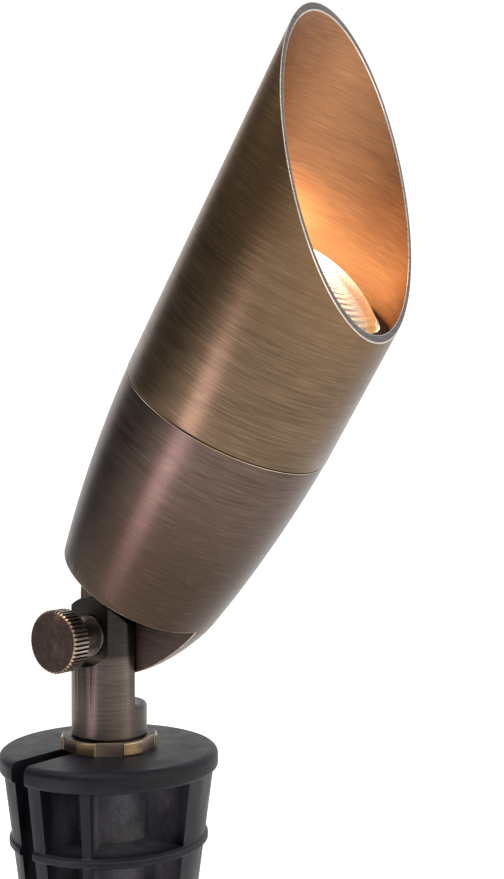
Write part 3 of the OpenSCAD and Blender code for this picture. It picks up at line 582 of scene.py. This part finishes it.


# Glass, pressed: clear, with ribs 1.3 mm apart that spread the beam. It glows with a painted glow, warm
# white on the side where the lamp's beam is full; painted shade between its ribs shows where the glow
# thins out towards the other. Its edge is painted yellower and dimmer.
RIB = 1.3 * MM
DIM_SIDE = 17 * MM
FULL_SIDE = -12 * MM
EDGE_STARTS = 21 * MM
EDGE_FULL = 25 * MM
glass, tree, output = start_material("pressed_glass_painted_glow")
on_head = add(tree, "Mapping", {"Vector": add(tree, "TexCoord").outputs["Object"],
                                "Location": HEAD_AXIS["start"], "Rotation": HEAD_AXIS["turn"]})
flat = add(tree, "VectorMath", {0: on_head.outputs[0], 1: (1, 1, 0)}, operation="MULTIPLY")
reach = add(tree, "VectorMath", {0: flat.outputs[0]}, operation="LENGTH")
turns = add(tree, "Math", {0: reach.outputs["Value"], 1: math.tau / RIB}, operation="MULTIPLY")
rib = add(tree, "Math", {0: turns.outputs[0]}, operation="SINE")
ribs = add(tree, "Bump", {"Height": rib.outputs[0], "Strength": 0.2, "Distance": 0.08 * MM})
across = add(tree, "SeparateXYZ", {0: on_head.outputs[0]})
fade = add(tree, "MapRange", {"Value": across.outputs["X"], "From Min": DIM_SIDE, "From Max": FULL_SIDE},
           interpolation_type="SMOOTHSTEP")
painted_glow = add(tree, "Mix", {0: fade.outputs[0], 6: linear("b98468"), 7: linear("ffedd0")}, data_type="RGBA")
edge = add(tree, "MapRange", {"Value": reach.outputs["Value"], "From Min": EDGE_STARTS,
                              "From Max": EDGE_FULL})
tone = add(tree, "Mix", {0: edge.outputs[0], 6: painted_glow.outputs[2], 7: linear("ffcf7c")}, data_type="RGBA")
power = add(tree, "MapRange", {"Value": fade.outputs[0], "To Min": 0.32, "To Max": 2.6})
shadow = add(tree, "MapRange", {"Value": rib.outputs[0], "From Min": -1.0, "To Min": 0.8})
waning = add(tree, "MapRange", {"Value": edge.outputs[0], "To Min": 1.0, "To Max": 0.4})
ribbed = add(tree, "Math", {0: power.outputs[0], 1: shadow.outputs[0]}, operation="MULTIPLY")
lit = add(tree, "Math", {0: ribbed.outputs[0], 1: waning.outputs[0]}, operation="MULTIPLY")
clear = add(tree, "BsdfPrincipled", {"Base Color": linear("f6fbfa"), "Roughness": 0.08, "IOR": 1.52,
                                     "Transmission Weight": 1.0, "Normal": ribs.outputs[0],
                                     "Emission Color": tone.outputs[2], "Emission Strength": lit.outputs[0]})
tree.links.new(clear.outputs[0], output.inputs[0])

# The dome in millimetres from the pivot: both its faces are parts of balls round one centre, and a
# short straight edge with a flat underside joins them.
DOME_CENTRE = 91.98
OUTER_RADIUS, OUTER_ANGLE = 37.42, 45.09
INNER_RADIUS, INNER_ANGLE = 34.82, 43.34
EDGE_RADIUS, BORE_RADIUS, EDGE_Z = 26.5, 23.9, 117.0
ARC_STEPS = 18


def arc(radius, angle, steps):
    """Points of radius and height along a part of the dome, at the given steps down from its top."""
    turns = [math.radians(angle * step / ARC_STEPS) for step in steps]
    return [(radius * math.sin(a), DOME_CENTRE + radius * math.cos(a)) for a in turns]


outer = arc(OUTER_RADIUS, OUTER_ANGLE, range(ARC_STEPS + 1))
inner = arc(INNER_RADIUS, INNER_ANGLE, range(ARC_STEPS, -1, -1))
dome = turned(outer + [(EDGE_RADIUS, EDGE_Z), (BORE_RADIUS, EDGE_Z)] + inner, steps=128, closed=False)
head_place(dome)
place(dome, "glass_dome", "head", [glass], ["glass_lens"])


# Lamp light: what the lit lamp throws up into the shroud, as a small warm bulb of light just above
# the dome. It rides on the head, where BULB_MM is its place from the pivot.
BULB_MM = Vector((-11.8, 13, 130.5))
glow = bpy.data.lights.new("lamp_glow", "POINT")
glow.shadow_soft_size = 6 * MM
glow.energy = 0.0118
glow.color = linear("ffd297")[:3]
lamp_glow = bpy.data.objects.new("lamp_glow", glow)
bpy.context.scene.collection.objects.link(lamp_glow)
lamp_glow.location = (Matrix.Rotation(TILT, 3, "Y") @ BULB_MM + Vector((0, 0, PIVOT_MM))) * MM
lamp_glow.visible_camera = False
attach(lamp_glow, "head")


# Shroud seal: a moulded ring of the same rubber as the grommet, stretched into the groove round the
# housing's spigot. It holds the shroud by friction wherever it is slid or turned.
dress(rubber, "shroud_seal")


# Shroud: a length of brass tube that slides over the spigot. It is cut off at a slant, and the cut is
# rounded and filed along both edges, which carry a painted glint.

# Aged plate, brushed: an olive brown in longer strokes than the housing's, more golden near the cut.
shroud_bronze = turned_bronze("shroud_bronze_plate", "4d4033", "78644f", "6c5642", 0.33, stroke_mm=16,
                              far=("8a6b49", 0.6, 100, 150), **HEAD_AXIS)
# Thin plate over brushed brass inside the tube: a coppery brown with a broad, soft shine.
shroud_inside = turned_bronze("shroud_copper_inside", "805b46", "ab7d5a", "9a6d4b", 0.54, stroke_mm=9,
                              bite=0.2, **HEAD_AXIS)
# Sawn and plated face of the cut: a plain grey.
shroud_rim = turned_bronze("shroud_cut_edge", "4d4b4b", "7b7877", "66625f", 0.36, **HEAD_AXIS)
# Bare filed brass on both edges of the cut, with a painted glint: a thin bright line.
rim_glint = turned_bronze("shroud_rim_glint", "b7a898", "e6dccf", "cdbfae", 0.3, **HEAD_AXIS)

# The tube in millimetres from the pivot, with a radius inside its wall that tells the bore from the
# outside, and the cut: how far it leans over, and how far that lean is turned away from the head's own.
BORE, OUTSIDE = 29.0, 30.5
IN_WALL = 29.5
FOOT_Z, UNCUT_Z, CUT_Z = 78.9, 196, 152.3
CUT_LEAN, CUT_TURN = math.radians(47.3), math.radians(3.4)
tube = turned([(BORE, FOOT_Z), (OUTSIDE, FOOT_Z), (OUTSIDE, UNCUT_Z), (BORE, UNCUT_Z)], steps=192)
cut_normal = Matrix.Rotation(CUT_TURN, 3, "Z") @ Vector((math.sin(CUT_LEAN), 0, math.cos(CUT_LEAN)))
bmesh.ops.bisect_plane(tube, geom=tube.verts[:] + tube.edges[:] + tube.faces[:], plane_co=(0, 0, CUT_Z),
                       plane_no=cut_normal, clear_outer=True)
rim = bmesh.ops.bridge_loops(tube, edges=[e for e in tube.edges if e.is_boundary])["faces"]
for face in tube.faces:
    face.material_index = 1 if face.calc_center_median().xy.length < IN_WALL else 0
for face in rim:
    face.material_index = 2


def at_foot(edge):
    """Whether an edge is one of the two corners of the tube's foot."""
    low = all(abs(v.co.z - FOOT_Z) < 0.01 for v in edge.verts)
    return low and abs(edge.link_faces[0].normal.dot(edge.link_faces[1].normal)) < 0.5


foot = [e for e in tube.edges if at_foot(e)]
border = {e for face in rim for e in face.edges if not all(f in rim for f in e.link_faces)}
outer_edge = [e for e in border if e.verts[0].co.xy.length > IN_WALL]
inner_edge = [e for e in border if e.verts[0].co.xy.length < IN_WALL]
bmesh.ops.bevel(tube, geom=foot, offset=0.5, segments=3, profile=0.5, affect="EDGES", material=0)
bmesh.ops.bevel(tube, geom=outer_edge, offset=0.22, segments=2, profile=0.5, affect="EDGES", material=3)
bmesh.ops.bevel(tube, geom=inner_edge, offset=0.25, segments=2, profile=0.5, affect="EDGES", material=3)
head_place(tube)
place(tube, "shroud_tube", "shade", [shroud_bronze, shroud_inside, shroud_rim, rim_glint],
      ["shroud"])
